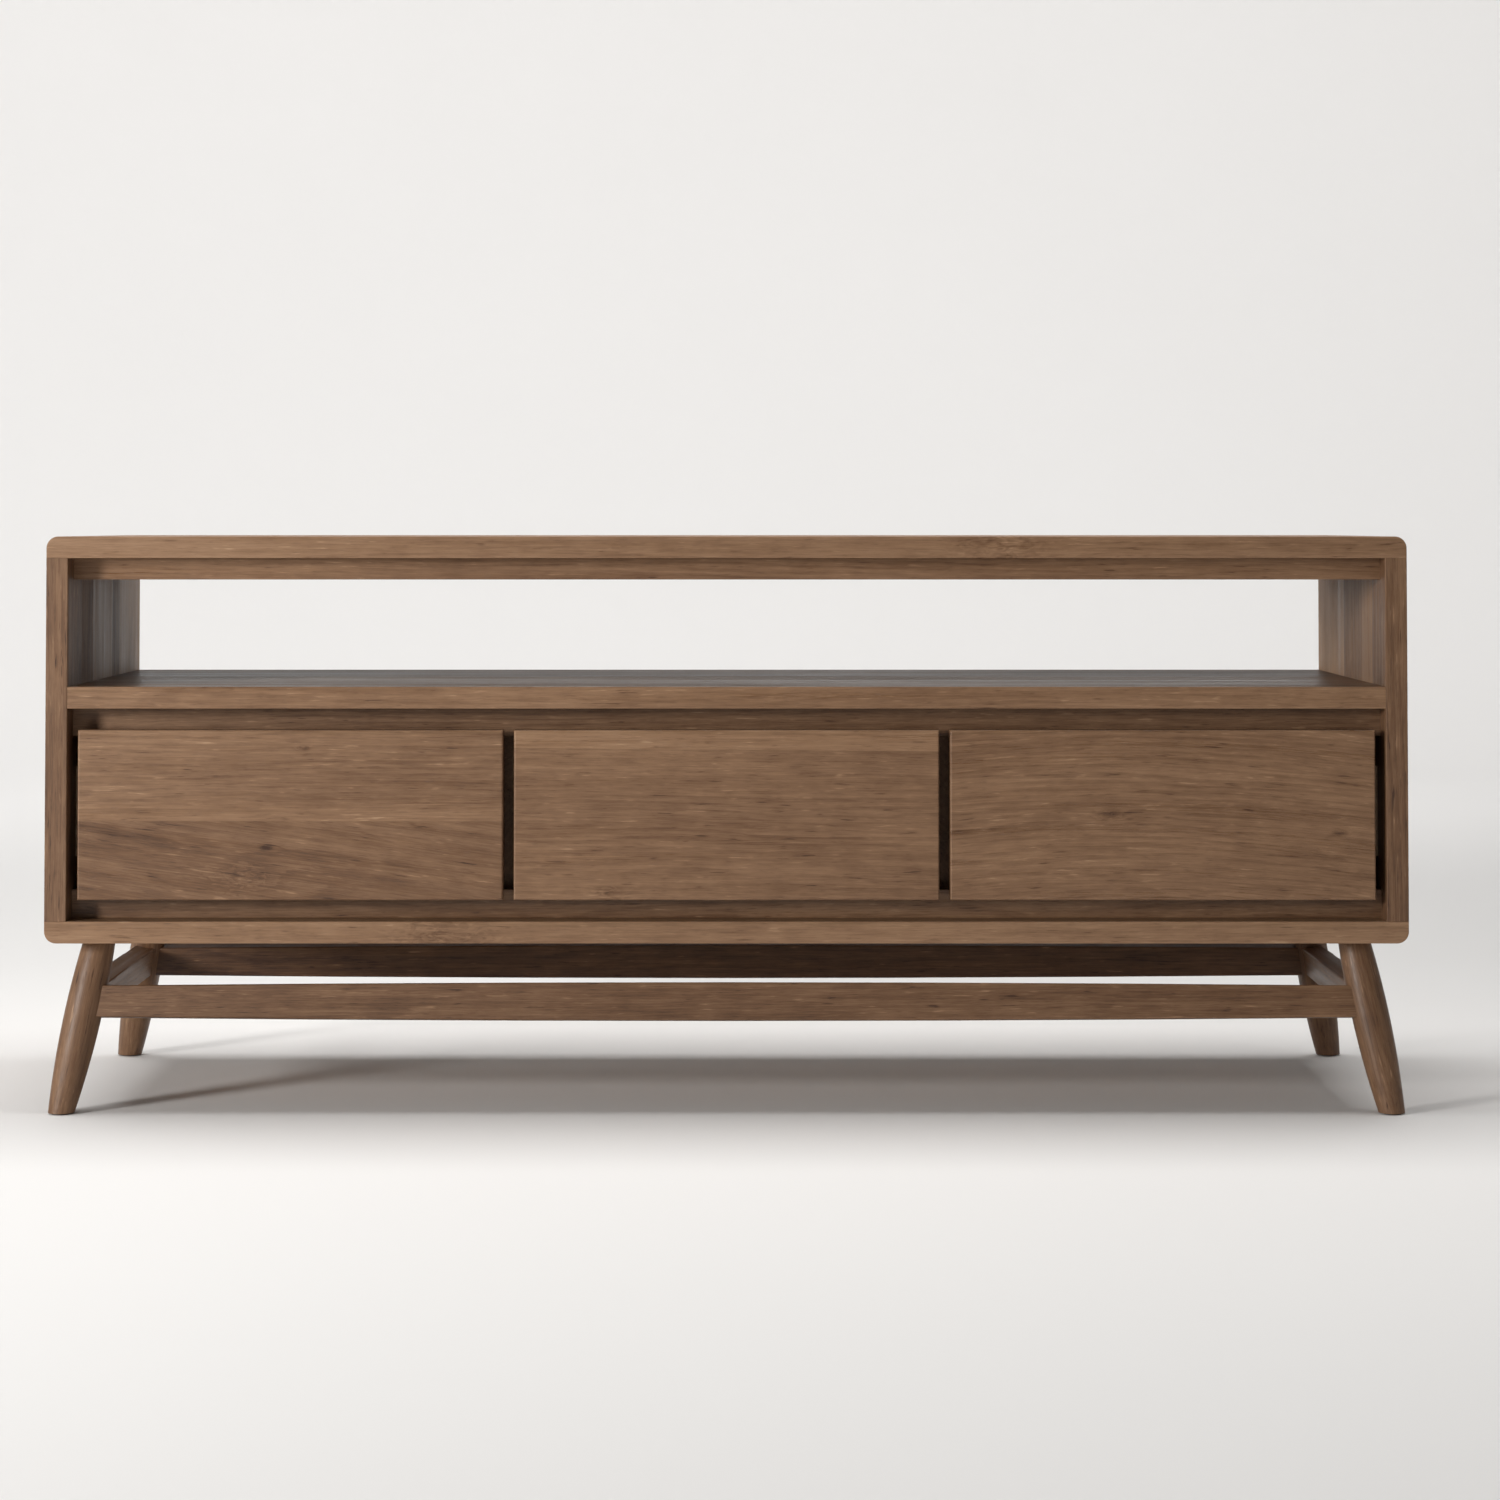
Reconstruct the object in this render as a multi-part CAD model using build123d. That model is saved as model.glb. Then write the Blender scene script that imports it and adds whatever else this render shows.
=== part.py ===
from build123d import *
import os

# A low console cabinet in solid wood: an open shelf over three drawers, in a carcass with rounded
# corners, on four splayed legs joined by stretchers. The origin is on the floor under the middle
# of the cabinet. +X is to the right, +Y to the back and +Z up. Millimetres.

# Whole cabinet
WIDTH = 1500.0
DEPTH = 450.0
HEIGHT = 635.0
LEG_HEIGHT = 188.0          # floor to the underside of the carcass

# Carcass
PANEL = 24.0                # top, bottom, sides and shelf
SHELF_TOP = 469.5
CORNER_RADIUS = 13.0
ARRIS = 1.0                 # easing of a sawn edge
RAIL_SETBACK = 34.0         # front of the carcass to the rails' faces
RAIL = 20.0                 # rail thickness
TOP_RAIL_HEIGHT = 24.0
DRAWER_RAIL_HEIGHT = 32.0
DIVIDER = 20.0
BACK_PANEL = 9.0
BACK_PANEL_SETBACK = 4.0
BATTEN_HEIGHT = 100.0       # packing between a side panel and its drawer slide

# Drawers
DRAWERS = ("left", "middle", "right")
REVEAL = 12.0               # gap at the sides of a drawer front
FRONT_HEIGHT = 186.5
FRONT = 20.0
FRONT_ARRIS = 2.0
BOX_HEIGHT = 150.0
BOX_LENGTH = 388.0
BOX_BOARD = 12.0
BOX_BOTTOM = 6.0
BOTTOM_RISE = 8.0           # underside of the drawer bottom above the lower edge of the box
GROOVE_PLAY = 0.1

# Drawer slides: three nested channels. "Stand" is a channel web's distance from the wall.
SLIDE_THICKNESS = 12.7
SLIDE_LENGTH = 350.0
SLIDE_METAL = 1.2
OUTER_HALF_HEIGHT = 22.5
OUTER_DEPTH = 9.5
MIDDLE_HALF_HEIGHT = 17.9
MIDDLE_STAND = 3.2
MIDDLE_DEPTH = 7.8
MIDDLE_SHORTER = 3.0        # each end of the middle member stops this far inside the others
INNER_HALF_HEIGHT = 13.3
INNER_DEPTH = 6.7
SLIDE_BEHIND_RAIL = 2.0
SLIDE_SCREW_INSET = 40.0    # slide screws from each end of a member

# Legs and stretchers
FOOT_X = 733.0
FOOT_Y = 210.5
SPLAY = 0.19                # sideways run of a leg's axis for each millimetre of rise
FOOT_RADIUS = 14.0
BELLY_RADIUS = 20.5
BELLY_HEIGHT = 110.0
STRETCHER = 24.0
STRETCHER_END_HEIGHT = 34.0
STRETCHER_MIDDLE = 119.5    # height of the stretchers' centre line
LONG_BELLY = 3.7            # rise of a long stretcher's curved edge
SHORT_BELLY = 0.6
STRETCHER_ARRIS = 1.5
LEG_SPARE = 12.0            # turned length beyond each end of a leg, cut off level

# Fixings
CLEARANCE = 0.1             # round each fixing in its hole
DOWEL_RADIUS = 4.0
DOWEL_DEEP = 22.0           # into an end grain
DOWEL_SHALLOW = 14.0        # into a face
SMALL_DOWEL_RADIUS = 3.0
SMALL_DOWEL_DEEP = 20.0
SMALL_DOWEL_SHALLOW = 8.0
PANEL_DOWEL_Y = (-160.0, -80.0, 0.0, 80.0, 160.0)
SHELF_DOWEL_Y = (-150.0, -50.0, 50.0, 150.0)
DIVIDER_DOWEL_Y = (-120.0, 20.0, 160.0)
BOX_DOWEL_Z = (-35.0, 45.0)                 # from the drawer's middle height
STRETCHER_DOWEL_Z = (-8.0, 8.0)             # from the stretcher's centre line
STRETCHER_DOWEL_IN_LEG = 11.0
BOLT_RADIUS = 4.0
BOLT_IN_LEG = 28.0
INSERT_RADIUS = 6.0
INSERT_LENGTH = 18.0
INSERT_SUNK = 1.0
GLIDE_RADIUS = 10.0
GLIDE_HEIGHT = 4.0
GLIDE_PROUD = 1.5
GLIDE_NAIL_RADIUS = 1.5
GLIDE_NAIL_LENGTH = 14.0
SCREW_RADIUS = 1.75
SCREW_HEAD_RADIUS = 3.2
SCREW_HEAD_HEIGHT = 2.2
RECESS_REACH = 0.6                          # half length of a cross recess, over the head's radius
RECESS_HALF_WIDTH = 0.15                    # and its half width
RECESS_DEPTH = 0.55                         # and its depth, over the head's height
HEAD_ROUNDING = 0.6                         # rounding of a head's rim, over its height
BACK_SCREW_LENGTH = 30.0
DIVIDER_SCREW_Z = (-90.0, 0.0, 90.0)        # from the drawer's middle height
BATTEN_SCREW_Z = (-30.0, 30.0)
SLIDE_SCREW_LENGTH = 10.0
SLIDE_SCREW_HEAD_HEIGHT = 1.2
FRONT_SCREW_LENGTH = 26.0
FRONT_SCREW_X = 150.0                       # from the drawer's middle
FRONT_SCREW_Z = (-35.0, 40.0)
BOTTOM_SCREW_LENGTH = 20.0
BOTTOM_SCREW_RADIUS = 1.5
BOTTOM_SCREW_HEAD = (2.8, 1.6)              # radius and height
BOTTOM_SCREW_X = (-120.0, 0.0, 120.0)

# Places that follow from the sizes above
SIDE_X = WIDTH / 2 - PANEL                  # inner face of a side panel
FRONT_Y = -DEPTH / 2
TOP_Z = HEIGHT - PANEL                      # underside of the top panel
FLOOR_Z = LEG_HEIGHT + PANEL                # upper face of the bottom panel
SHELF_Z = SHELF_TOP - PANEL                 # underside of the shelf
RAIL_Y = FRONT_Y + RAIL_SETBACK
DIVIDER_Y = RAIL_Y + RAIL
BACK_Y = DEPTH / 2 - BACK_PANEL_SETBACK - BACK_PANEL
DRAWER_Z = (FLOOR_Z + SHELF_Z) / 2          # middle height of fronts, boxes and slides
FRONT_WIDTH = (2 * SIDE_X - 4 * REVEAL) / 3
DRAWER_PITCH = FRONT_WIDTH + REVEAL
DIVIDER_X = DRAWER_PITCH / 2
BOX_HALF_WIDTH = DIVIDER_X - DIVIDER / 2 - SLIDE_THICKNESS
BATTEN = SIDE_X - DRAWER_PITCH - BOX_HALF_WIDTH - SLIDE_THICKNESS
BOX_Y = FRONT_Y + FRONT
BOX_BACK_Y = BOX_Y + BOX_LENGTH
BOX_Z = DRAWER_Z - BOX_HEIGHT / 2
SLIDE_Y = DIVIDER_Y + SLIDE_BEHIND_RAIL
SLIDE_SCREW_Y = (SLIDE_Y + SLIDE_SCREW_INSET, SLIDE_Y + SLIDE_LENGTH - SLIDE_SCREW_INSET)

AXES = "XYZ"
TURNS = {"X": (0, 90, 0), "Y": (90, 0, 0), "Z": (0, 0, 0)}    # from upright to along each axis
SIDES = (-1, 1)
CORNERS = {"front_left": (-1, -1), "front_right": (1, -1), "rear_left": (-1, 1), "rear_right": (1, 1)}


# ---------- Shared shapes ----------

def board(x, y, z):
    """A rectangular board, from its low and high face on each axis."""
    spans = [sorted(span) for span in (x, y, z)]
    sizes = [high - low for low, high in spans]
    centre = [(low + high) / 2 for low, high in spans]
    return Pos(*centre) * Box(*sizes)


def eased(solid, axis, radius=ARRIS):
    """The board with all its edges along one axis rounded."""
    return fillet(solid.edges().filter_by(axis), radius)


def rod(start, axis, length, radius):
    """A round bar from a start point, along +axis or, with a negative length, along -axis."""
    offset = {"X": (length / 2, 0, 0), "Y": (0, length / 2, 0), "Z": (0, 0, length / 2)}[axis]
    centre = [place + shift for place, shift in zip(start, offset)]
    return Pos(*centre) * Rot(*TURNS[axis]) * Cylinder(radius, abs(length))


def screw_head(start, axis, unit, radius, height):
    """A rounded head with a cross recess. It stands at start and points away from the shank."""
    head = rod(start, axis, -height * unit, radius)
    way = {"X": Axis.X, "Y": Axis.Y, "Z": Axis.Z}[axis]
    outer_face = head.faces().filter_by(way).sort_by(way)[0 if unit > 0 else -1]
    head = fillet(outer_face.edges(), HEAD_ROUNDING * height)
    top = start[AXES.index(axis)] - height * unit
    for long_axis in AXES.replace(axis, ""):
        spans = []
        for place, name in zip(start, AXES):
            half = radius * (RECESS_REACH if name == long_axis else RECESS_HALF_WIDTH)
            if name == axis:
                spans.append((top - unit, top + RECESS_DEPTH * height * unit))
            else:
                spans.append((place - half, place + half))
        head -= board(*spans)
    return head


class Fixing:
    """A dowel or screw: its own solid, and the hole that it needs in the pieces it joins."""

    def __init__(self, start, axis, length, radius, head=None):
        unit = 1 if length > 0 else -1
        step = {"X": (unit, 0, 0), "Y": (0, unit, 0), "Z": (0, 0, unit)}[axis]
        self.solid = rod(start, axis, length, radius)
        early = [place - CLEARANCE * way for place, way in zip(start, step)]
        self.hole = rod(early, axis, length + 2 * CLEARANCE * unit, radius + CLEARANCE)
        if head:
            self.solid += screw_head(start, axis, unit, *head)


def dowel(face_point, axis, deep_way, radius=DOWEL_RADIUS, deep=DOWEL_DEEP, shallow=DOWEL_SHALLOW):
    """A dowel across the joint at face_point. Its longer end points along deep_way (1 or -1)."""
    unit = {"X": (1, 0, 0), "Y": (0, 1, 0), "Z": (0, 0, 1)}[axis]
    start = [place - deep_way * shallow * way for place, way in zip(face_point, unit)]
    return Fixing(start, axis, deep_way * (deep + shallow), radius)


def drilled(solid, fixings):
    """The solid with a hole for each fixing that reaches into it."""
    box = solid.bounding_box()
    for fixing in fixings:
        hole = fixing.hole.bounding_box()
        lows = [max(a, b) for a, b in zip(tuple(box.min), tuple(hole.min))]
        highs = [min(a, b) for a, b in zip(tuple(box.max), tuple(hole.max))]
        if all(low < high for low, high in zip(lows, highs)):
            solid -= fixing.hole
    return solid


def write(node, *solids):
    """Write one node: a single solid, or a group of separate ones."""
    shape = solids[0] if len(solids) == 1 else Compound(children=list(solids))
    shape.label = node
    export_step(shape, os.path.join("parts", node + ".step"))


# ---------- Carcass ----------

def carcass_dowels():
    """The dowels of the carcass joints."""
    pins = []
    for side in SIDES:
        for y in PANEL_DOWEL_Y:
            x = side * (SIDE_X + PANEL / 2)
            pins.append(dowel((x, y, TOP_Z), "Z", -1))
            pins.append(dowel((x, y, FLOOR_Z), "Z", 1))
        for y in SHELF_DOWEL_Y:
            pins.append(dowel((side * SIDE_X, y, SHELF_TOP - PANEL / 2), "X", -side))
        for y in DIVIDER_DOWEL_Y:
            pins.append(dowel((side * DIVIDER_X, y, SHELF_Z), "Z", -1))
            pins.append(dowel((side * DIVIDER_X, y, FLOOR_Z), "Z", 1))
        for y, z in rail_centres().values():
            pins.append(dowel((side * SIDE_X, y, z), "X", -side))
    return pins


def rail_centres():
    """Each rail's centre line, as Y and Z."""
    y = RAIL_Y + RAIL / 2
    return {
        "front_top_rail": (y, TOP_Z - TOP_RAIL_HEIGHT / 2),
        "rear_top_rail": (-y, TOP_Z - TOP_RAIL_HEIGHT / 2),
        "upper_drawer_rail": (y, SHELF_Z - DRAWER_RAIL_HEIGHT / 2),
        "lower_drawer_rail": (y, FLOOR_Z + DRAWER_RAIL_HEIGHT / 2),
    }


def end_panel(z_low, z_high, outer_z):
    """A full-width top or bottom panel, with its two outer corners rounded."""
    panel = board((-WIDTH / 2, WIDTH / 2), (FRONT_Y, -FRONT_Y), (z_low, z_high))
    corners = [e for e in panel.edges().filter_by(Axis.Y) if abs(e.center().Z - outer_z) < ARRIS]
    panel = fillet(corners, CORNER_RADIUS)
    front_and_rear = panel.faces().filter_by(Axis.Y)
    return fillet(front_and_rear.edges(), ARRIS)


def side_panel(side):
    panel = board((side * SIDE_X, side * WIDTH / 2), (FRONT_Y, -FRONT_Y), (FLOOR_Z, TOP_Z))
    return eased(panel, Axis.Z)


def shelf():
    panel = board((-SIDE_X, SIDE_X), (FRONT_Y, -FRONT_Y), (SHELF_Z, SHELF_TOP))
    return eased(panel, Axis.X)


def rail(centre, height):
    y, z = centre
    bar = board((-SIDE_X, SIDE_X), (y - RAIL / 2, y + RAIL / 2), (z - height / 2, z + height / 2))
    return eased(bar, Axis.X)


def divider(side):
    x = side * DIVIDER_X
    return board((x - DIVIDER / 2, x + DIVIDER / 2), (DIVIDER_Y, BACK_Y), (FLOOR_Z, SHELF_Z))


def runner_batten(side):
    x = side * SIDE_X
    half = BATTEN_HEIGHT / 2
    return board((x - side * BATTEN, x), (DIVIDER_Y, BACK_Y), (DRAWER_Z - half, DRAWER_Z + half))


def back_panel_screws():
    """Pan-head screws through the back panel into the dividers and the battens."""
    head = (SCREW_HEAD_RADIUS, SCREW_HEAD_HEIGHT)
    screws = []
    for side in SIDES:
        for x, heights in ((DIVIDER_X, DIVIDER_SCREW_Z), (SIDE_X - BATTEN / 2, BATTEN_SCREW_Z)):
            for height in heights:
                start = (side * x, BACK_Y + BACK_PANEL, DRAWER_Z + height)
                screws.append(Fixing(start, "Y", -BACK_SCREW_LENGTH, SCREW_RADIUS, head))
    return screws


# ---------- Drawer slides ----------

def channel(wall_x, inward, stand, depth, half_height, y_span, flip=False):
    """A folded metal channel along Y.

    Its web stands off the wall towards inward, and its flanges run on by depth. With flip, the
    web is at the far side and the flanges run back towards the wall.
    """
    far = stand + depth
    web = (far - SLIDE_METAL, far) if flip else (stand, stand + SLIDE_METAL)
    low, high = DRAWER_Z - half_height, DRAWER_Z + half_height
    outline = board((wall_x + inward * stand, wall_x + inward * far), y_span, (low, high))
    web_x = wall_x + inward * (far if flip else stand)
    along = outline.edges().filter_by(Axis.Y)
    folds = [edge for edge in along if abs(edge.center().X - web_x) < SLIDE_METAL / 2]
    outline = fillet(folds, SLIDE_METAL)
    hollow = (stand - 1, web[0]) if flip else (web[1], far + 1)
    return outline - board(
        (wall_x + inward * hollow[0], wall_x + inward * hollow[1]),
        (y_span[0] - 1, y_span[1] + 1),
        (low + SLIDE_METAL, high - SLIDE_METAL),
    )


class Slide:
    """One slide: three channels, and the screws that hold the two outer ones."""

    def __init__(self, drawer_x, side):
        wall = drawer_x + side * (BOX_HALF_WIDTH + SLIDE_THICKNESS)
        inward = -side
        ends = (SLIDE_Y, SLIDE_Y + SLIDE_LENGTH)
        middle_ends = (ends[0] + MIDDLE_SHORTER, ends[1] - MIDDLE_SHORTER)
        stand = SLIDE_THICKNESS - INNER_DEPTH
        head = (SCREW_HEAD_RADIUS, SLIDE_SCREW_HEAD_HEIGHT)
        shank = inward * SLIDE_SCREW_LENGTH
        outer_web = wall + inward * SLIDE_METAL
        inner_web = wall + inward * (SLIDE_THICKNESS - SLIDE_METAL)
        self.wall_screws = [
            Fixing((outer_web, y, DRAWER_Z), "X", -shank, SCREW_RADIUS, head) for y in SLIDE_SCREW_Y
        ]
        self.drawer_screws = [
            Fixing((inner_web, y, DRAWER_Z), "X", shank, SCREW_RADIUS, head) for y in SLIDE_SCREW_Y
        ]
        outer = channel(wall, inward, 0, OUTER_DEPTH, OUTER_HALF_HEIGHT, ends)
        inner = channel(wall, inward, stand, INNER_DEPTH, INNER_HALF_HEIGHT, ends, flip=True)
        self.outer = drilled(outer, self.wall_screws)
        self.inner = drilled(inner, self.drawer_screws)
        self.middle = channel(wall, inward, MIDDLE_STAND, MIDDLE_DEPTH, MIDDLE_HALF_HEIGHT, middle_ends)


# ---------- Drawers ----------

def corner_dowels(x):
    """Small dowels that join a drawer's sides to its box front and back."""
    pins = []
    joint = BOX_HALF_WIDTH - BOX_BOARD
    for side in SIDES:
        for y in (BOX_Y + BOX_BOARD / 2, BOX_BACK_Y - BOX_BOARD / 2):
            for height in BOX_DOWEL_Z:
                pins.append(dowel((x + side * joint, y, DRAWER_Z + height), "X", -side,
                                  SMALL_DOWEL_RADIUS, SMALL_DOWEL_DEEP, SMALL_DOWEL_SHALLOW))
    return pins


def drawer_screws(x):
    """Screws from inside the box into the front, and up through the bottom into the back."""
    screws = []
    for side in SIDES:
        for height in FRONT_SCREW_Z:
            start = (x + side * FRONT_SCREW_X, BOX_Y + BOX_BOARD, DRAWER_Z + height)
            head = (SCREW_HEAD_RADIUS, SCREW_HEAD_HEIGHT)
            screws.append(Fixing(start, "Y", -FRONT_SCREW_LENGTH, SCREW_RADIUS, head))
    for shift in BOTTOM_SCREW_X:
        start = (x + shift, BOX_BACK_Y - BOX_BOARD / 2, BOX_Z + BOTTOM_RISE)
        screws.append(Fixing(start, "Z", BOTTOM_SCREW_LENGTH, BOTTOM_SCREW_RADIUS, BOTTOM_SCREW_HEAD))
    return screws


def write_drawer(name, x, slides):
    """The pieces of one drawer."""
    pins = corner_dowels(x)
    screws = drawer_screws(x) + [screw for slide in slides for screw in slide.drawer_screws]
    fixings = pins + screws
    inner_x = BOX_HALF_WIDTH - BOX_BOARD
    groove_x = inner_x + BOX_BOARD / 2
    top_z = BOX_Z + BOX_HEIGHT
    bottom_z = BOX_Z + BOTTOM_RISE
    bottom_top = bottom_z + BOX_BOTTOM
    groove = board(
        (x - groove_x - GROOVE_PLAY, x + groove_x + GROOVE_PLAY),
        (BOX_Y + BOX_BOARD / 2 - GROOVE_PLAY, BOX_BACK_Y + 1),
        (bottom_z - GROOVE_PLAY, bottom_top + GROOVE_PLAY),
    )

    front_x = (x - FRONT_WIDTH / 2, x + FRONT_WIDTH / 2)
    front = board(front_x, (FRONT_Y, BOX_Y), (DRAWER_Z - FRONT_HEIGHT / 2, DRAWER_Z + FRONT_HEIGHT / 2))
    front = fillet(front.faces().sort_by(Axis.Y)[0].edges(), FRONT_ARRIS)
    front = fillet(front.faces().sort_by(Axis.Y)[-1].edges(), ARRIS)
    write(name + "_drawer_front", drilled(front, fixings))

    box_front = board((x - inner_x, x + inner_x), (BOX_Y, BOX_Y + BOX_BOARD), (BOX_Z, top_z))
    write(name + "_drawer_box_front", drilled(box_front - groove, fixings))

    for side_name, side in zip(("left", "right"), SIDES):
        wall = board((x + side * inner_x, x + side * BOX_HALF_WIDTH), (BOX_Y, BOX_BACK_Y), (BOX_Z, top_z))
        wall = fillet(wall.edges().filter_by(Axis.Y).group_by(Axis.Z)[-1], ARRIS)
        write(name + "_drawer_" + side_name + "_side", drilled(wall - groove, fixings))

    back = board((x - inner_x, x + inner_x), (BOX_BACK_Y - BOX_BOARD, BOX_BACK_Y), (bottom_top, top_z))
    write(name + "_drawer_back", drilled(back, fixings))

    bottom_y = (BOX_Y + BOX_BOARD / 2, BOX_BACK_Y)
    bottom = board((x - groove_x, x + groove_x), bottom_y, (bottom_z, bottom_top))
    write(name + "_drawer_bottom", drilled(bottom, fixings))

    write(name + "_drawer_dowels", *[pin.solid for pin in pins])
    write(name + "_drawer_screws", *[screw.solid for screw in screws])
    write(name + "_drawer_slide_members", *[slide.inner for slide in slides])
    write(name + "_slide_middle_members", *[slide.middle for slide in slides])


# ---------- Legs and stretchers ----------

def on_leg_axis(corner, z):
    """The point of a leg's axis at a height."""
    side_x, side_y = CORNERS[corner]
    return Vector(side_x * (FOOT_X - SPLAY * z), side_y * (FOOT_Y - SPLAY * z), z)


def leg_radius(height):
    """A leg's radius, widest at its belly and least at the floor."""
    taper = (BELLY_RADIUS - FOOT_RADIUS) / BELLY_HEIGHT ** 2
    return BELLY_RADIUS - taper * (height - BELLY_HEIGHT) ** 2


def leg_blank(corner, swell=0.0):
    """A leg turned to one long arc, cut level at the floor and under the carcass."""
    foot = on_leg_axis(corner, 0)
    top = on_leg_axis(corner, LEG_HEIGHT)
    stretch = (top - foot).length / LEG_HEIGHT
    low, high = -LEG_SPARE, LEG_HEIGHT + LEG_SPARE
    start = (leg_radius(low) + swell, low * stretch)
    belly = (BELLY_RADIUS + swell, BELLY_HEIGHT * stretch)
    finish = (leg_radius(high) + swell, high * stretch)
    outline = [ThreePointArc(start, belly, finish), Polyline(finish, (0, finish[1]), (0, start[1]), start)]
    turned = revolve(Plane.XZ * make_face(Curve() + outline), Axis.Z)
    slab = board((-WIDTH, WIDTH), (-DEPTH, DEPTH), (GLIDE_PROUD, LEG_HEIGHT))
    return Plane(origin=foot, z_dir=top - foot) * turned & slab


def leg_bolt(corner):
    """A hanger bolt, upright, from a leg into the bottom panel."""
    top = on_leg_axis(corner, LEG_HEIGHT)
    length = BOLT_IN_LEG + INSERT_SUNK + INSERT_LENGTH
    return Fixing((top.X, top.Y, LEG_HEIGHT - BOLT_IN_LEG), "Z", length, BOLT_RADIUS)


def leg_insert(corner):
    """The threaded insert that the bolt screws into."""
    top = on_leg_axis(corner, LEG_HEIGHT)
    insert = Fixing((top.X, top.Y, LEG_HEIGHT + INSERT_SUNK), "Z", INSERT_LENGTH, INSERT_RADIUS)
    insert.solid -= leg_bolt(corner).hole
    insert.hole += rod((top.X, top.Y, LEG_HEIGHT), "Z", INSERT_SUNK, BOLT_RADIUS + CLEARANCE)
    return insert


def foot_glide(corner):
    """A nylon glide: a disc let into the foot, with a nail."""
    foot = on_leg_axis(corner, 0)
    base = (foot.X, foot.Y, 0)
    disc = rod(base, "Z", GLIDE_HEIGHT, GLIDE_RADIUS)
    nail = Fixing(base, "Z", GLIDE_HEIGHT + GLIDE_NAIL_LENGTH, GLIDE_NAIL_RADIUS)
    glide = Fixing(base, "Z", GLIDE_HEIGHT, GLIDE_RADIUS)
    glide.solid = disc + nail.solid
    glide.hole += nail.hole
    return glide


def stretcher(start, end, belly):
    """A stretcher between two legs, leaning with them, with its edges bowed and its ends coped."""
    begin = on_leg_axis(start, STRETCHER_MIDDLE)
    finish = on_leg_axis(end, STRETCHER_MIDDLE)
    along = (finish - begin).normalized()
    outward = along.cross(Vector(0, 0, 1))
    plane = Plane(origin=(begin + finish) / 2, x_dir=along, z_dir=outward + Vector(0, 0, SPLAY))
    half = (finish - begin).length / 2
    edge = STRETCHER_END_HEIGHT / 2
    outline = [
        ThreePointArc((-half, edge), (0, edge + belly), (half, edge)),
        Line((half, edge), (half, -edge)),
        ThreePointArc((half, -edge), (0, -edge - belly), (-half, -edge)),
        Line((-half, -edge), (-half, edge)),
    ]
    bar = extrude(make_face(Curve() + outline), STRETCHER / 2, both=True)
    bar = fillet([e for e in bar.edges() if e.length > half], STRETCHER_ARRIS)
    bar = plane * bar
    for corner in (start, end):
        bar -= leg_blank(corner, swell=CLEARANCE)
    return bar


def stretcher_dowels(start, end):
    """Two level dowels at each end of a stretcher."""
    pins = []
    for corner, other in ((start, end), (end, start)):
        for height in STRETCHER_DOWEL_Z:
            z = STRETCHER_MIDDLE + height
            here = on_leg_axis(corner, z)
            way = (on_leg_axis(other, z) - here).normalized()
            axis = "X" if abs(way.X) > 0.5 else "Y"
            sign = round(way.X + way.Y)
            face = tuple(here + way * BELLY_RADIUS)
            pins.append(dowel(face, axis, sign, shallow=STRETCHER_DOWEL_IN_LEG))
    return pins


def write_base(bottom_fixings):
    """The legs, stretchers and their fixings."""
    runs = {
        "front_stretcher": ("front_left", "front_right", LONG_BELLY),
        "rear_stretcher": ("rear_right", "rear_left", LONG_BELLY),
        "left_stretcher": ("rear_left", "front_left", SHORT_BELLY),
        "right_stretcher": ("front_right", "rear_right", SHORT_BELLY),
    }
    pins = []
    for node, (start, end, belly) in runs.items():
        own = stretcher_dowels(start, end)
        write(node, drilled(stretcher(start, end, belly), own))
        pins += own
    write("stretcher_dowels", *[pin.solid for pin in pins])

    glides = []
    for corner in CORNERS:
        glide = foot_glide(corner)
        write(corner + "_leg", drilled(leg_blank(corner), pins + [leg_bolt(corner), glide]))
        glides.append(glide.solid)
    write("foot_glides", *glides)
    write("leg_bolts", *[leg_bolt(corner).solid for corner in CORNERS])
    write("leg_inserts", *[insert.solid for insert in bottom_fixings])


# ---------- Whole cabinet ----------

def write_carcass(slides, inserts):
    pins = carcass_dowels()
    back_screws = back_panel_screws()
    wall_screws = [screw for slide in slides for screw in slide.wall_screws]
    fixings = pins + back_screws + wall_screws
    rear = (BACK_Y, BACK_Y + BACK_PANEL)
    boards = {
        "top_panel": end_panel(TOP_Z, HEIGHT, HEIGHT),
        "bottom_panel": end_panel(LEG_HEIGHT, FLOOR_Z, LEG_HEIGHT),
        "left_side_panel": side_panel(-1),
        "right_side_panel": side_panel(1),
        "middle_shelf": shelf(),
        "left_divider": divider(-1),
        "right_divider": divider(1),
        "left_runner_batten": runner_batten(-1),
        "right_runner_batten": runner_batten(1),
        "back_panel": board((-SIDE_X, SIDE_X), rear, (FLOOR_Z, SHELF_Z)),
    }
    for node, centre in rail_centres().items():
        boards[node] = rail(centre, TOP_RAIL_HEIGHT if "top" in node else DRAWER_RAIL_HEIGHT)
    for node, solid in boards.items():
        write(node, drilled(solid, fixings + inserts))
    write("carcass_dowels", *[pin.solid for pin in pins])
    write("back_panel_screws", *[screw.solid for screw in back_screws])
    write("cabinet_slide_screws", *[screw.solid for screw in wall_screws])
    write("cabinet_slide_members", *[slide.outer for slide in slides])


os.makedirs("parts", exist_ok=True)

all_slides = []
for place, drawer in enumerate(DRAWERS):
    drawer_x = (place - 1) * DRAWER_PITCH
    pair = [Slide(drawer_x, side) for side in SIDES]
    write_drawer(drawer, drawer_x, pair)
    all_slides += pair

leg_inserts = [leg_insert(corner) for corner in CORNERS]
write_carcass(all_slides, leg_inserts)
write_base(leg_inserts)
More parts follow.
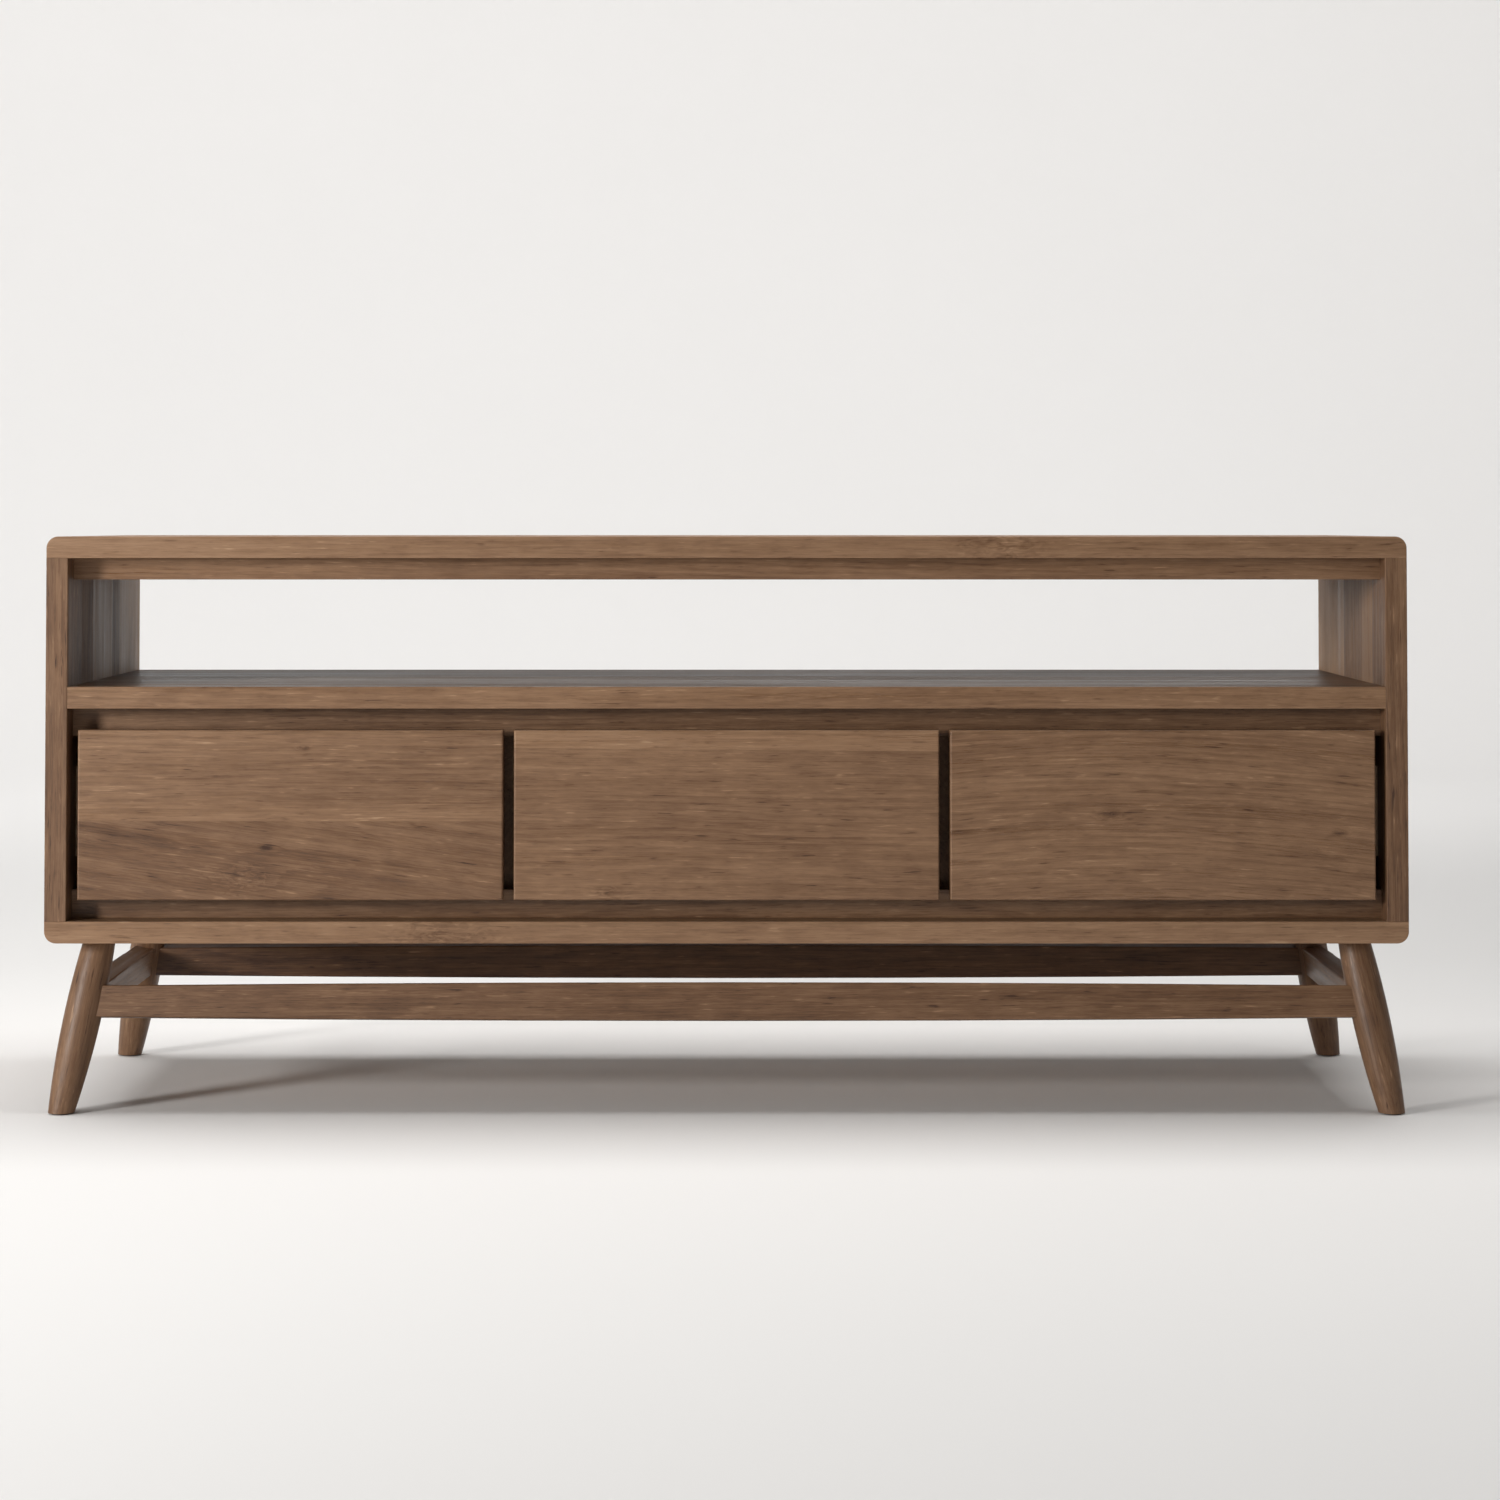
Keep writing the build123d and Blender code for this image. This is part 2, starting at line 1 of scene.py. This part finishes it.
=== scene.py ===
import bmesh
import bpy
import math
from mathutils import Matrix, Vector


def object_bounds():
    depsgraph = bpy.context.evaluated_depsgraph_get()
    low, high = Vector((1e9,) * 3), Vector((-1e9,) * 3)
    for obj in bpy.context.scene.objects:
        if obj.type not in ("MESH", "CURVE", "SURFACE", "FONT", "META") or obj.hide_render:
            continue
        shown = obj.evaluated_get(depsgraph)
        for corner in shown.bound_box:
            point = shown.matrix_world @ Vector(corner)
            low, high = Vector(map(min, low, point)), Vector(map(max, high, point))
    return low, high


# A solid wood media console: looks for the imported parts, studio, lights and camera. Metres.

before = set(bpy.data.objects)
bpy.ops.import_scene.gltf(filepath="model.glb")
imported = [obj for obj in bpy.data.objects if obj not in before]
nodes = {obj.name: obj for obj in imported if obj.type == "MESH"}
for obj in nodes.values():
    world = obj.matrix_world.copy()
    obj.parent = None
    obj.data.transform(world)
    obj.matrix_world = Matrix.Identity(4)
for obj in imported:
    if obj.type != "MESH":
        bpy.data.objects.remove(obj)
cad_low, cad_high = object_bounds()
DRAWERS = ("left", "middle", "right")


# ---------- Node graphs ----------

class Graph:
    """A material's nodes, built with short calls. An input is a socket, a number or a tuple."""

    def __init__(self, name):
        self.material = bpy.data.materials.new(name)
        self.material.use_nodes = True
        self.tree = self.material.node_tree
        self.tree.nodes.clear()

    def node(self, kind, inputs=None, out=0, **settings):
        made = self.tree.nodes.new("ShaderNode" + kind)
        for key, value in settings.items():
            setattr(made, key, value)
        for key, value in (inputs or {}).items():
            if isinstance(value, bpy.types.NodeSocket):
                self.tree.links.new(value, made.inputs[key])
            else:
                made.inputs[key].default_value = value
        return None if out is None else made.outputs[out]

    def math(self, operation, *values):
        return self.node("Math", dict(enumerate(values)), operation=operation)

    def vector(self, operation, *values):
        return self.node("VectorMath", dict(enumerate(values)), operation=operation)

    def add(self, *values):
        total = values[0]
        for value in values[1:]:
            total = self.math("ADD", total, value)
        return total

    def times(self, value, factor):
        return self.math("MULTIPLY", value, factor)

    def scaled(self, vector, scale):
        return self.vector("MULTIPLY", vector, scale)

    def noise(self, vector, scale, detail=2.0, roughness=0.5, distortion=0.0, out="Fac"):
        """Noise about 0, within -0.5 and 0.5, or its colour."""
        inputs = {"Vector": self.scaled(vector, scale), "Scale": 1.0, "Detail": detail}
        inputs.update({"Roughness": roughness, "Distortion": distortion})
        value = self.node("TexNoise", inputs, out=out)
        return value if out == "Color" else self.math("SUBTRACT", value, 0.5)

    def step(self, value, low, high):
        """0 below low, 1 above high, smooth between. High may be the lower of the two."""
        inputs = {"Value": value, "From Min": low, "From Max": high}
        return self.node("MapRange", inputs, interpolation_type="SMOOTHSTEP")

    def ramp(self, value, stops):
        """Colours by value. Stops are (place, colour)."""
        made = self.tree.nodes.new("ShaderNodeValToRGB")
        ramp = made.color_ramp
        while len(ramp.elements) < len(stops):
            ramp.elements.new(0.5)
        for element, (place, colour) in zip(ramp.elements, stops):
            element.position = place
            element.color = (*colour, 1.0)
        self.tree.links.new(value, made.inputs[0])
        return made.outputs[0]

    def bump(self, height, distance, strength):
        return self.node("Bump", {"Height": height, "Distance": distance, "Strength": strength})

    def finish(self, inputs):
        """Close the graph with a surface shader."""
        shader = self.node("BsdfPrincipled", inputs)
        self.node("OutputMaterial", {"Surface": shader}, out=None)
        return self.material


# ---------- Materials ----------

WALNUT = (
    (0.00, (0.050, 0.021, 0.010)),
    (0.25, (0.145, 0.073, 0.035)),
    (0.50, (0.255, 0.144, 0.077)),
    (0.75, (0.350, 0.213, 0.122)),
    (1.00, (0.440, 0.287, 0.174)),
)
PALE = (
    (0.00, (0.160, 0.095, 0.055)),
    (0.25, (0.300, 0.195, 0.120)),
    (0.50, (0.430, 0.300, 0.195)),
    (0.75, (0.530, 0.385, 0.260)),
    (1.00, (0.620, 0.470, 0.330)),
)
AXES = "XYZ"

# Growth rings, in metres.
RING = 0.0062               # width of one ring
PITH = (0.16, 0.09)         # where the heart of the tree lay, across and through
PITH_SHIFT = (0.10, 0.05)   # how far it may differ from stave to stave
PITH_SWING = 0.05           # how far it wanders along the board
RIPPLE = 0.9                # unevenness of the rings, in ring widths
LATE_WOOD = (0.30, 0.92)    # part of a ring over which it darkens
RING_END = (1.0, 0.93)      # and over which it turns pale again
FADING = (-0.16, 0.20)      # noise over which the rings grow plain
PLAIN_RINGS = 0.25          # what is left of them where they have faded

# The next stave's patch of the noises lies this far off in grain space.
STAVE_JUMP = (7.0, 3.0, 5.0)

# Noises, as repeats for each metre along the grain, across it and through it.
WANDER_SCALE = (1.6, 7.0, 7.0)
RIPPLE_SCALE = (7.0, 55.0, 55.0)
SWIRL_SCALE = (60.0, 180.0, 180.0)
FADING_SCALE = (3.2, 22.0, 22.0)
CLOUD_SCALE = (2.4, 13.0, 13.0)
MOTTLE_SCALE = (26.0, 60.0, 60.0)
BAND_SCALE = (2.0, 85.0, 85.0)
STREAK_SCALE = (7.0, 300.0, 300.0)
FIBRE_SCALE = (26.0, 640.0, 640.0)
DASH_SCALE = (34.0, 420.0, 420.0)
PORE_SCALE = (85.0, 1700.0, 1700.0)

# Noise over which a mark comes up, and the mottling that lets it.
PORE_SPAN = (0.09, 0.20)
PALE_SPAN = (0.11, 0.23)
PALE_MOTTLE = (-0.06, 0.12)
DARK_SPAN = (-0.12, -0.24)
DARK_MOTTLE = (0.08, -0.10)

# Knots.
KNOT_STRETCH = 0.42         # a knot's height over its length
KNOT_FALL = 2.718           # base of its fading away from the middle
KNOT_RINGS = 2.2            # ring widths by which a knot bends the rings
KNOT_SWIRL = 9.0            # and by which they swirl in it
KNOT_MOTTLE = 0.8           # light and dark that the swirls bring
KNOT_DISTORTION = 1.6

# Steel: repeats of its drawing lines and zinc spangle for each metre.
LINES_ALONG = 6.0
LINES_ACROSS = 900.0
SPANGLE = 35.0
SPANGLE_SHADE = 0.62        # brightness of the dark spangles

# Gloss and relief of the wood.
STAVE_ROUGHNESS = 0.16      # spread from stave to stave
BAND_ROUGHNESS = 0.55
FIBRE_ROUGHNESS = 0.3
OIL_SPECULAR = 0.42
RELIEF_DEPTH = 0.00022
RELIEF_STRENGTH = 0.55


def wood(name, along, across, seed, staves=(), tone=0.0, tones=0.09, slope=0.02, seam_tilt=0.0, arch=None,
         figure=1.0, knots=(), stops=WALNUT, lean=None, rough=0.47):
    """Oiled solid wood whose fibres run along one axis.

    Grain space is (along, across, through). Staves are the places across where one glued board
    ends and the next begins, and the seams between them run aslant by seam_tilt. Tone is the
    shade and slope the grain's run across, each one number or one for each stave. Tones is how
    far shades differ from stave to stave. Arch is (along, bend) of a gentle arch in the grain.
    Figure is the strength of the rings. A knot is (along, across, radius, darkness). Lean is a
    turned leg's run of X and Y for each metre of rise.
    """
    g = Graph(name)
    through = (set(AXES) - {along, across}).pop()
    place = g.node("TexCoord", out="Object")
    parts = dict(zip(AXES, g.node("SeparateXYZ", {0: place}).node.outputs))
    if lean:
        for axis, run in zip("XY", lean):
            parts[axis] = g.add(parts[axis], g.times(parts["Z"], run))
    u, v, w = parts[along], parts[across], parts[through]

    # Which stave this is, and its own random numbers.
    seam = g.add(v, g.times(u, seam_tilt))
    gates = [g.math("GREATER_THAN", seam, edge) for edge in staves]
    index = g.add(float(seed), *gates)
    chance = g.node("TexWhiteNoise", {"W": index}, out="Color", noise_dimensions="1D")
    shifts = g.node("SeparateColor", {0: chance}).node.outputs

    def by_stave(values):
        steps = [g.times(gate, after - before) for gate, before, after in zip(gates, values, values[1:])]
        return g.add(values[0], *steps)

    # One number for slope or tone is spread at random over the staves.
    if isinstance(slope, tuple):
        tilt = by_stave(slope)
    else:
        tilt = g.times(g.math("SUBTRACT", shifts[2], 0.5), slope * 2)
    if isinstance(tone, tuple):
        shade = by_stave(tone)
    else:
        shade = g.add(tone, g.times(g.math("SUBTRACT", shifts[2], 0.5), tones * 2))

    flow = g.add(v, g.math("MULTIPLY", u, tilt))
    if arch:
        flow = g.add(flow, g.times(g.math("POWER", g.add(u, -arch[0]), 2.0), arch[1]))
    space = g.node("CombineXYZ", {"X": u, "Y": flow, "Z": w})
    space = g.vector("ADD", space, g.scaled(chance, STAVE_JUMP))

    # Growth rings: cylinders about the heart of the tree, bent by its slow wandering.
    wander = g.node("SeparateXYZ", {0: g.noise(space, WANDER_SCALE, 2.0, out="Color")}).node.outputs
    swing = PITH_SWING * figure
    off_v = g.add(flow, g.times(shifts[0], PITH_SHIFT[0]), -PITH[0], g.times(wander[0], swing))
    off_w = g.add(w, g.times(shifts[1], PITH_SHIFT[1]), -PITH[1], g.times(wander[1], swing))
    radius = g.math("SQRT", g.add(g.math("POWER", off_v, 2.0), g.math("POWER", off_w, 2.0)))
    ripple = g.noise(space, RIPPLE_SCALE, 3.0)
    phase = g.add(g.times(radius, 1 / RING), g.times(ripple, RIPPLE * figure))

    # Knots swirl the rings and darken the wood.
    burl = stain = 0.0
    for knot_u, knot_v, size, dark in knots:
        near_u = g.times(g.math("SUBTRACT", u, knot_u), KNOT_STRETCH / size)
        near_v = g.times(g.math("SUBTRACT", v, knot_v), 1.0 / size)
        far = g.add(g.math("POWER", near_u, 2.0), g.math("POWER", near_v, 2.0))
        heap = g.math("POWER", KNOT_FALL, g.times(far, -1.0))
        burl = g.add(burl, heap)
        stain = g.add(stain, g.times(heap, dark))
    if knots:
        swirl = g.noise(space, SWIRL_SCALE, 3.0, distortion=KNOT_DISTORTION)
        phase = g.add(phase, g.math("MULTIPLY", burl, g.add(KNOT_RINGS, g.times(swirl, KNOT_SWIRL))))

    # Each ring darkens slowly towards its late wood and ends sharply. Rings fade in patches.
    ring = g.math("FRACT", phase)
    late = g.math("MULTIPLY", g.step(ring, *LATE_WOOD), g.step(ring, *RING_END))
    plain = g.step(g.noise(space, FADING_SCALE, 2.0), *FADING)
    rings = g.math("MULTIPLY", late, g.add(PLAIN_RINGS, plain))

    # Mottling, fibres, short marks and pores, drawn out along the grain.
    clouds = g.noise(space, CLOUD_SCALE, 3.0)
    mottle = g.noise(space, MOTTLE_SCALE, 2.0, 0.6)
    bands = g.noise(space, BAND_SCALE, 3.0, 0.55)
    streaks = g.noise(space, STREAK_SCALE, 3.0, 0.6)
    fibres = g.noise(space, FIBRE_SCALE, 3.0, 0.65)
    dashes = g.noise(space, DASH_SCALE, 2.0, 0.5)
    pores = g.step(g.noise(space, PORE_SCALE, 1.0), *PORE_SPAN)
    pale_marks = g.math("MULTIPLY", g.step(dashes, *PALE_SPAN), g.step(mottle, *PALE_MOTTLE))
    dark_marks = g.math("MULTIPLY", g.step(dashes, *DARK_SPAN), g.step(mottle, *DARK_MOTTLE))

    # Place on the colour ramp, from dark at 0 to light at 1.
    value = g.add(
        0.5,
        shade,
        g.times(clouds, 0.36),
        g.times(mottle, 0.22),
        g.times(bands, 0.24),
        g.times(streaks, 0.26),
        g.times(fibres, 0.42),
        g.times(rings, -0.07 * figure),
        g.times(pale_marks, 0.27),
        g.times(dark_marks, -0.26),
        g.times(pores, -0.08),
    )
    if knots:
        value = g.add(value, g.times(stain, -1.0), g.math("MULTIPLY", burl, g.times(swirl, KNOT_MOTTLE)))
    relief = g.add(g.times(fibres, 0.5), g.times(pores, -0.8), g.times(rings, 0.12))
    roughness = g.add(
        rough,
        g.times(shifts[1], STAVE_ROUGHNESS),
        -STAVE_ROUGHNESS / 2,
        g.times(bands, BAND_ROUGHNESS),
        g.times(fibres, FIBRE_ROUGHNESS),
    )
    return g.finish({
        "Base Color": g.ramp(value, stops),
        "Roughness": roughness,
        "Specular IOR Level": OIL_SPECULAR,
        "Normal": g.bump(relief, RELIEF_DEPTH, RELIEF_STRENGTH),
    })


def plated_steel(name, along, tint):
    """Rolled, zinc-plated steel, with faint drawing lines along one axis."""
    g = Graph(name)
    place = g.node("TexCoord", out="Object")
    stretch = tuple(LINES_ALONG if axis == along else LINES_ACROSS for axis in AXES)
    lines = g.noise(place, stretch, 3.0, 0.6)
    spangle = g.noise(place, (SPANGLE, SPANGLE, SPANGLE), 4.0, 0.6)
    colour = g.ramp(g.add(0.5, g.times(spangle, 0.6), g.times(lines, 0.5)), (
        (0.2, tuple(SPANGLE_SHADE * part for part in tint)),
        (0.8, tint),
    ))
    rough = g.add(0.36, g.times(spangle, 0.30), g.times(lines, 0.15))
    return g.finish({
        "Base Color": colour,
        "Metallic": 1.0,
        "Roughness": rough,
        "Normal": g.bump(lines, 0.00008, 0.4),
    })


def nylon(name):
    """Dark moulded nylon, finely grained and a little scuffed."""
    g = Graph(name)
    place = g.node("TexCoord", out="Object")
    grain = g.noise(place, (900.0, 900.0, 900.0), 3.0)
    scuffs = g.noise(place, (60.0, 60.0, 200.0), 4.0)
    colour = g.ramp(g.add(0.5, scuffs), ((0.2, (0.012, 0.011, 0.010)), (0.8, (0.045, 0.042, 0.038))))
    return g.finish({
        "Base Color": colour,
        "Roughness": g.add(0.55, g.times(grain, 0.3)),
        "Normal": g.bump(grain, 0.0001, 0.5),
    })


def plain_paper(name):
    """The studio's seamless paper."""
    g = Graph(name)
    place = g.node("TexCoord", out="Object")
    mottle = g.noise(place, (0.6, 0.6, 0.6), 2.0)
    colour = g.ramp(g.add(0.5, mottle), ((0.0, (0.800, 0.790, 0.780)), (1.0, (0.825, 0.815, 0.805))))
    return g.finish({"Base Color": colour, "Roughness": 0.9, "Specular IOR Level": 0.1})


def give(material, *names):
    """Put one material on every slot of each named CAD node."""
    for name in names:
        for slot in nodes[name].material_slots:
            slot.material = material


# ---------- Boards ----------

def from_front(*distances):
    """Places along Y, from distances behind the cabinet's front edge."""
    return tuple(cad_low.y + distance for distance in distances)


EDGE_Y = cad_low.y          # the cabinet's front edge
PANEL_STAVES = from_front(0.072, 0.131, 0.215, 0.262, 0.341, 0.398)
SHELF_STAVES = from_front(0.118, 0.177, 0.255, 0.340, 0.402)
SIDE_STAVES = from_front(0.081, 0.147, 0.267, 0.313)

give(wood("top_wood", "X", "Y", 11, PANEL_STAVES, tone=0.08, knots=((0.305, EDGE_Y, 0.022, 0.08),)),
     "top_panel")
give(wood("bottom_wood", "X", "Y", 23, PANEL_STAVES, tone=0.0, knots=((-0.314, EDGE_Y, 0.022, 0.08),)),
     "bottom_panel")
give(wood("shelf_wood", "X", "Y", 37, SHELF_STAVES, tone=-0.15, tones=0.20, rough=0.42), "middle_shelf")
give(wood("left_side_wood", "Z", "Y", 41, SIDE_STAVES, tone=(-0.21, -0.14, 0.10, -0.14, 0.24), rough=0.58),
     "left_side_panel")
give(wood("right_side_wood", "Z", "Y", 53, SIDE_STAVES, tone=(-0.19, 0.05, -0.10, 0.09, 0.20), rough=0.58),
     "right_side_panel")

RAIL_NODES = ("front_top_rail", "rear_top_rail", "upper_drawer_rail", "lower_drawer_rail")
# Painted shade: the rails' tones are set darker to stand in for the shade in their recess behind the front
# edges.
RAIL_TONES_AND_PAINTED_SHADE = (-0.18, -0.18, -0.08, -0.08)
for seed, (node, tone) in enumerate(zip(RAIL_NODES, RAIL_TONES_AND_PAINTED_SHADE)):
    give(wood(node + "_wood", "X", "Z", 60 + seed, tone=tone), node)

FRONT_ROUGHNESS = 0.40
FRONT_LOOKS = {
    "left": dict(
        seed=71, staves=(0.322, 0.341), tone=(-0.16, -0.06, -0.10), slope=(0.13, 0.0, 0.01),
        knots=(
            (-0.533, 0.2590, 0.0130, 0.05),
            (-0.506, 0.2930, 0.0024, 0.34),
            (-0.466, 0.4020, 0.0026, 0.28),
        ),
    ),
    "middle": dict(
        seed=82, staves=(0.4005,), tone=(-0.11, 0.03), slope=(0.012, 0.004), seam_tilt=0.008,
        knots=((-0.130, 0.2430, 0.0080, 0.14),),
    ),
    "right": dict(
        seed=93, tone=-0.10, slope=(0.0,), arch=(0.43, 0.22), figure=1.1,
        knots=((0.422, 0.3290, 0.0060, 0.20), (0.674, 0.3090, 0.0034, 0.34)),
    ),
}
for drawer, look in FRONT_LOOKS.items():
    give(wood(drawer + "_front_wood", "X", "Z", rough=FRONT_ROUGHNESS, **look), drawer + "_drawer_front")

give(wood("divider_wood", "Y", "Z", 101, tone=-0.04), "left_divider", "right_divider")
give(wood("batten_wood", "Y", "Z", 103, stops=PALE), "left_runner_batten", "right_runner_batten")
give(wood("back_panel_wood", "X", "Z", 107, figure=1.3), "back_panel")

side_wood = wood("box_side_wood", "Y", "Z", 111, stops=PALE)
end_wood = wood("box_end_wood", "X", "Z", 117, stops=PALE)
bottom_wood = wood("box_bottom_wood", "X", "Y", 119, stops=PALE, figure=1.2)
for drawer in DRAWERS:
    give(side_wood, drawer + "_drawer_left_side", drawer + "_drawer_right_side")
    give(end_wood, drawer + "_drawer_box_front", drawer + "_drawer_back")
    give(bottom_wood, drawer + "_drawer_bottom")

LEGS = {"front_left": (-1, -1), "front_right": (1, -1), "rear_left": (-1, 1), "rear_right": (1, 1)}
SPLAY = 0.19                # sideways run of a leg's axis for each metre of rise
# Painted shade: the legs' tone of -0.27 darkens them, on top of the wood's own tone, to stand in for the
# shade they stand in beneath the cabinet.
for seed, (corner, (side_x, side_y)) in enumerate(LEGS.items()):
    leaning = (side_x * SPLAY, side_y * SPLAY)
    give(wood(corner + "_leg_painted_shade_wood", "Z", "X", 131 + seed, tone=-0.27, lean=leaning), corner + "_leg")

# Painted shade: the stretchers' tones are set darker to stand in for the shade beneath the cabinet, and
# the rear stretcher's darkest of all for the deeper shade it lies in.
give(wood("front_stretcher_painted_shade_wood", "X", "Z", 141, tone=-0.18), "front_stretcher")
give(wood("rear_stretcher_painted_shade_wood", "X", "Z", 142, tone=-0.32), "rear_stretcher")
for seed, node in enumerate(("left_stretcher", "right_stretcher")):
    give(wood(node + "_wood", "Y", "Z", 151 + seed, tone=-0.19), node)

give(wood("dowel_wood", "Z", "X", 161, stops=PALE, tone=0.2), "carcass_dowels", "stretcher_dowels",
     *[drawer + "_drawer_dowels" for drawer in DRAWERS])
give(plated_steel("slide_steel", "Y", (0.72, 0.73, 0.75)), "cabinet_slide_members",
     *[drawer + "_slide_middle_members" for drawer in DRAWERS],
     *[drawer + "_drawer_slide_members" for drawer in DRAWERS])
give(plated_steel("screw_steel", "Z", (0.70, 0.68, 0.62)), "cabinet_slide_screws", "back_panel_screws",
     "leg_bolts", "leg_inserts", *[drawer + "_drawer_screws" for drawer in DRAWERS])
give(nylon("glide_nylon"), "foot_glides")


# ---------- Studio ----------

def studio_bowl(flat=5.2, bend=2.6, height=3.4, around=96, steps=16):
    """A floor that curves up into a wall all round, so that it shows no horizon from any side."""
    profile = [(0.0, 0.0), (flat * 0.5, 0.0)]
    for step in range(steps + 1):
        angle = math.pi / 2 * step / steps
        profile.append((flat + bend * math.sin(angle), bend * (1 - math.cos(angle))))
    profile.append((flat + bend, height))
    mesh = bmesh.new()
    rings = []
    for radius, z in profile[1:]:
        ring = []
        for turn in range(around):
            angle = 2 * math.pi * turn / around
            ring.append(mesh.verts.new((radius * math.cos(angle), radius * math.sin(angle), z)))
        rings.append(ring)
    middle = mesh.verts.new((0.0, 0.0, 0.0))
    for turn in range(around):
        after = (turn + 1) % around
        mesh.faces.new((middle, rings[0][turn], rings[0][after]))
        for inner, outer in zip(rings, rings[1:]):
            mesh.faces.new((inner[turn], outer[turn], outer[after], inner[after]))
    for face in mesh.faces:
        face.smooth = True
    data = bpy.data.meshes.new("studio_bowl")
    mesh.to_mesh(data)
    mesh.free()
    bowl = bpy.data.objects.new("studio_bowl", data)
    bpy.context.scene.collection.objects.link(bowl)
    data.materials.append(plain_paper("studio_paper"))


def soft_light(name, place, aim, size, power, colour):
    """A soft box at a place, turned towards a point."""
    data = bpy.data.lights.new(name, "AREA")
    data.shape = "RECTANGLE"
    data.size, data.size_y = size
    data.energy = power
    data.color = colour
    light = bpy.data.objects.new(name, data)
    light.location = place
    light.rotation_euler = (Vector(aim) - Vector(place)).to_track_quat("-Z", "Y").to_euler()
    bpy.context.scene.collection.objects.link(light)


studio_bowl()

# Name, place, aim, size, watts and colour of each light.
soft_light("key", (-3.3, -2.9, 1.15), (0.0, 0.0, 0.4), (0.7, 0.9), 128.0, (1.0, 0.985, 0.965))
soft_light("ceiling", (-0.4, 0.25, 3.5), (-0.4, 0.25, 0.0), (4.6, 2.0), 140.0, (1.0, 0.995, 0.985))
soft_light("wall_wash", (-0.6, 3.4, 3.5), (-0.8, 7.8, 0.6), (7.0, 0.8), 172.0, (1.0, 0.995, 0.99))

world = bpy.data.worlds.new("studio_air")
world.use_nodes = True
background = world.node_tree.nodes["Background"]
background.inputs["Color"].default_value = (1.0, 0.995, 0.985, 1.0)
background.inputs["Strength"].default_value = 0.10
bpy.context.scene.world = world


# ---------- Camera ----------

EYE_HEIGHT = 0.6484         # just above the top panel
EYE_SIDE = 0.0264
EYE_DISTANCE = 4.0289
EYE_PITCH = 0.0325          # radians above the horizontal
LENS = 82.74                # millimetres, as is the sensor's width
SENSOR_WIDTH = 36.0
SHIFT_X = -0.00034          # in widths of the picture
SHIFT_Y = -0.2252

camera_data = bpy.data.cameras.new("camera")
camera_data.lens = LENS
camera_data.sensor_width = SENSOR_WIDTH
camera_data.shift_x = SHIFT_X
camera_data.shift_y = SHIFT_Y
camera = bpy.data.objects.new("camera", camera_data)
camera.location = (EYE_SIDE, -EYE_DISTANCE, EYE_HEIGHT)
camera.rotation_euler = (math.pi / 2 + EYE_PITCH, 0, 0)
bpy.context.scene.collection.objects.link(camera)
bpy.context.scene.camera = camera
bpy.context.scene.view_settings.view_transform = "Standard"
